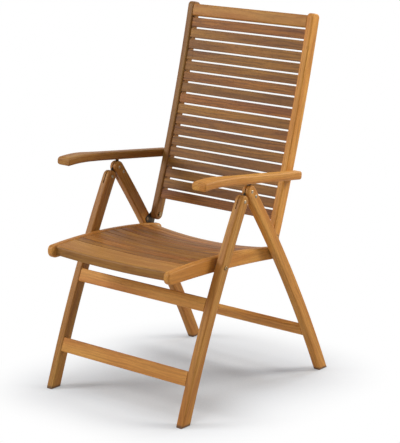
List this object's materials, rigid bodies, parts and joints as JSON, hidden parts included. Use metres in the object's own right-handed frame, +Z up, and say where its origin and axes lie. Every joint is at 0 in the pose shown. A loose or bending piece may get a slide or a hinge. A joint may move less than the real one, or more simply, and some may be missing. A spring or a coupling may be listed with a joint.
{
  "type": "reclining chair",
  "caption": "Folding high-back garden chair with bowed legs, dished slatted seat, slatted back and notched reclining armrests.",
  "frame": {"origin": "on the floor at the middle of the chair's outline, seen from above", "axes": "+Z up, the sitter faces -Y, +X to the viewer's right from the front"},
  "size_m": [0.57, 0.722, 1.1114],
  "materials": {
    "oiled_wood": "oiled honey-brown hardwood",
    "slat_wood": "oiled darker brown hardwood slats",
    "steel": "plated steel, slightly dulled"
  },
  "bodies": {
    "rear_frame": {"rear_leg_left": "oiled_wood", "rear_leg_right": "oiled_wood", "rear_stretcher": "oiled_wood", "apex_plate_left": "steel", "apex_plate_right": "steel", "plate_rivets": "steel", "front_pivot_rivets": "steel", "rest_pins": "steel", "seat_pivot_bolts": "steel", "seat_spacers": "steel", "back_bracket_left": "steel", "back_bracket_right": "steel", "bracket_screws": "steel"},
    "front_frame": {"front_leg_left": "oiled_wood", "front_leg_right": "oiled_wood", "front_stretcher_lower": "oiled_wood", "front_stretcher_upper": "oiled_wood", "seat_catch_pins": "steel"},
    "seat": {"seat_rail_left": "oiled_wood", "seat_rail_right": "oiled_wood", "seat_front_slat": "oiled_wood", "seat_slat_1": "slat_wood", "seat_slat_2": "slat_wood", "seat_slat_3": "slat_wood", "seat_slat_4": "slat_wood", "seat_slat_5": "slat_wood", "seat_slat_6": "slat_wood", "seat_slat_7": "slat_wood", "seat_slat_8": "slat_wood", "seat_slat_9": "slat_wood", "seat_slat_10": "slat_wood", "seat_slat_11": "slat_wood"},
    "back_pivot": {"back_pivot_bolts": "steel"},
    "back": {"stile_left": "oiled_wood", "stile_right": "oiled_wood", "back_top_rail": "oiled_wood", "back_slat_1": "slat_wood", "back_slat_2": "slat_wood", "back_slat_3": "slat_wood", "back_slat_4": "slat_wood", "back_slat_5": "slat_wood", "back_slat_6": "slat_wood", "back_slat_7": "slat_wood", "back_slat_8": "slat_wood", "back_slat_9": "slat_wood", "back_slat_10": "slat_wood", "back_slat_11": "slat_wood", "back_slat_12": "slat_wood", "back_slat_13": "slat_wood", "back_slat_14": "slat_wood", "back_slat_15": "slat_wood", "back_slat_16": "slat_wood", "back_slat_17": "slat_wood"},
    "left_arm_hinge": {"armrest_bolt_left": "steel"},
    "left_arm": {"armrest_left": "oiled_wood", "armrest_rack_left": "steel"},
    "right_arm_hinge": {"armrest_bolt_right": "steel"},
    "right_arm": {"armrest_right": "oiled_wood", "armrest_rack_right": "steel"}
  },
  "joints": [
    {"name": "fold", "type": "hinge", "parent": "rear_frame", "child": "front_frame", "pos_m": [0, -0.06597, 0.61051], "axis": [1, 0, 0], "range_deg": [0, 52]},
    {"name": "seat_fold", "type": "hinge", "parent": "rear_frame", "child": "seat", "pos_m": [0, 0.10793, 0.4232], "axis": [1, 0, 0], "range_deg": [-51.6, 0]},
    {"name": "recline", "type": "hinge", "parent": "rear_frame", "child": "back_pivot", "pos_m": [0, 0.12078, 0.46168], "axis": [1, 0, 0], "range_deg": [-27, 0]},
    {"name": "back_fold", "type": "hinge", "parent": "back_pivot", "child": "back", "pos_m": [0, 0.12078, 0.46168], "axis": [1, 0, 0], "range_deg": [0, 46.6]},
    {"name": "left_arm_tilt", "type": "hinge", "parent": "back", "child": "left_arm_hinge", "pos_m": [0, 0.18579, 0.645], "axis": [1, 0, 0], "range_deg": [0, 18.8]},
    {"name": "left_arm_lift", "type": "hinge", "parent": "left_arm_hinge", "child": "left_arm", "pos_m": [0, 0.18579, 0.645], "axis": [1, 0, 0], "range_deg": [-92.1, 0]},
    {"name": "right_arm_tilt", "type": "hinge", "parent": "back", "child": "right_arm_hinge", "pos_m": [0, 0.18579, 0.645], "axis": [1, 0, 0], "range_deg": [0, 18.8]},
    {"name": "right_arm_lift", "type": "hinge", "parent": "right_arm_hinge", "child": "right_arm", "pos_m": [0, 0.18579, 0.645], "axis": [1, 0, 0], "range_deg": [-92.1, 0]}
  ],
  "couplings": [
    {"joint": "seat_fold", "follows": "fold", "ratio": -0.99038},
    {"joint": "back_fold", "follows": "fold", "ratio": 0.89423},
    {"joint": "left_arm_tilt", "follows": "recline", "ratio": -0.68793},
    {"joint": "left_arm_lift", "follows": "fold", "ratio": -1.7692},
    {"joint": "right_arm_tilt", "follows": "recline", "ratio": -0.68793},
    {"joint": "right_arm_lift", "follows": "fold", "ratio": -1.7692}
  ]
}
